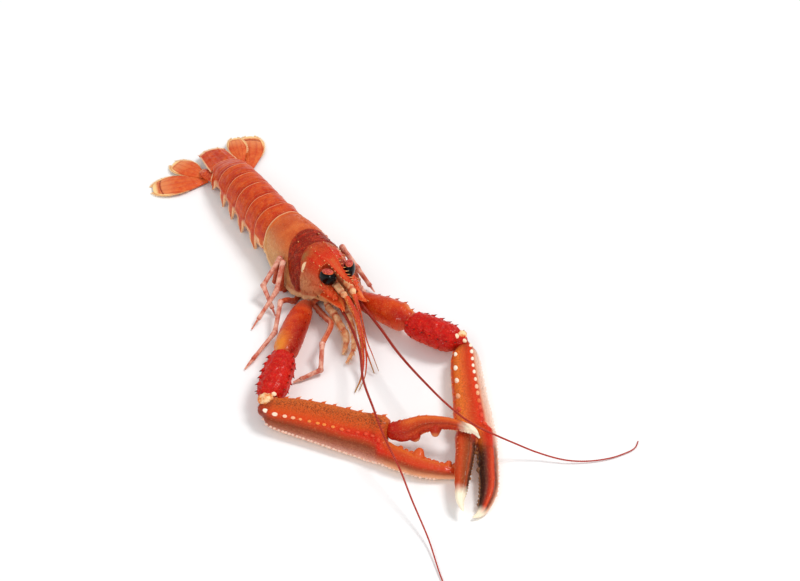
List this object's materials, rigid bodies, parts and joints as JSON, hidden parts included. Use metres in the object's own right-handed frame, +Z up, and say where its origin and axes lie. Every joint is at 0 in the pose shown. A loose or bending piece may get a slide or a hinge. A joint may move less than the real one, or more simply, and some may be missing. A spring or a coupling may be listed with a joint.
{
  "type": "norway lobster model",
  "caption": "Life-size norway lobster lying flat, long spiny claws folded forward until their tips cross, ringed tail stretched out behind with its fan spread, thin feelers trailing ahead.",
  "frame": {"origin": "bottom centre of the whole model's box, on the floor the animal lies on", "axes": "+Z up, -Y the way the head points, +X the animal's left side"},
  "size_m": [0.1752, 0.4186, 0.0371],
  "materials": {
    "shell": "wet orange-red shell of the tail, semi-gloss",
    "carapace": "wet shell of the head and chest, orange-red to tan, semi-gloss",
    "carpus": "crimson granular shell, glossy",
    "claw": "orange-red shell with pale knobs, semi-gloss",
    "limb": "thin pinkish-orange shell, semi-gloss",
    "fin": "thin orange blade with a pale rim, semi-gloss",
    "feeler": "dark red ringed thread, semi-gloss",
    "eye": "glossy black",
    "under": "pale tan underside, semi-gloss"
  },
  "bodies": {
    "root": {"abdomen_1": "shell", "abdomen_2": "shell", "abdomen_3": "shell", "abdomen_4": "shell", "abdomen_5": "shell", "abdomen_6": "shell", "antenna_base_left": "limb", "antenna_base_right": "limb", "antenna_left_1": "feeler", "antenna_left_2": "feeler", "antenna_left_3": "feeler", "antenna_right_1": "feeler", "antenna_right_2": "feeler", "antenna_right_3": "feeler", "antennal_scale_left": "shell", "antennal_scale_right": "shell", "antennule_left": "limb", "antennule_right": "limb", "carapace": "carapace", "cheliped_left_carpus": "carpus", "cheliped_left_dactyl": "claw", "cheliped_left_ischium": "limb", "cheliped_left_merus": "claw", "cheliped_left_propodus": "claw", "cheliped_right_carpus": "carpus", "cheliped_right_dactyl": "claw", "cheliped_right_ischium": "limb", "cheliped_right_merus": "claw", "cheliped_right_propodus": "claw", "eye_left": "eye", "eye_right": "eye", "eyestalk_left": "shell", "eyestalk_right": "shell", "leg_2_left_lower": "limb", "leg_2_left_upper": "limb", "leg_2_right_lower": "limb", "leg_2_right_upper": "limb", "leg_3_left_lower": "limb", "leg_3_left_upper": "limb", "leg_3_right_lower": "limb", "leg_3_right_upper": "limb", "leg_4_left_lower": "limb", "leg_4_left_upper": "limb", "leg_4_right_lower": "limb", "leg_4_right_upper": "limb", "leg_5_left_lower": "limb", "leg_5_left_upper": "limb", "leg_5_right_lower": "limb", "leg_5_right_upper": "limb", "maxilliped_left": "limb", "maxilliped_right": "limb", "sternum": "under", "telson": "shell", "uropod_endopod_left": "fin", "uropod_endopod_right": "fin", "uropod_exopod_left": "fin", "uropod_exopod_right": "fin"}
  },
  "joints": []
}
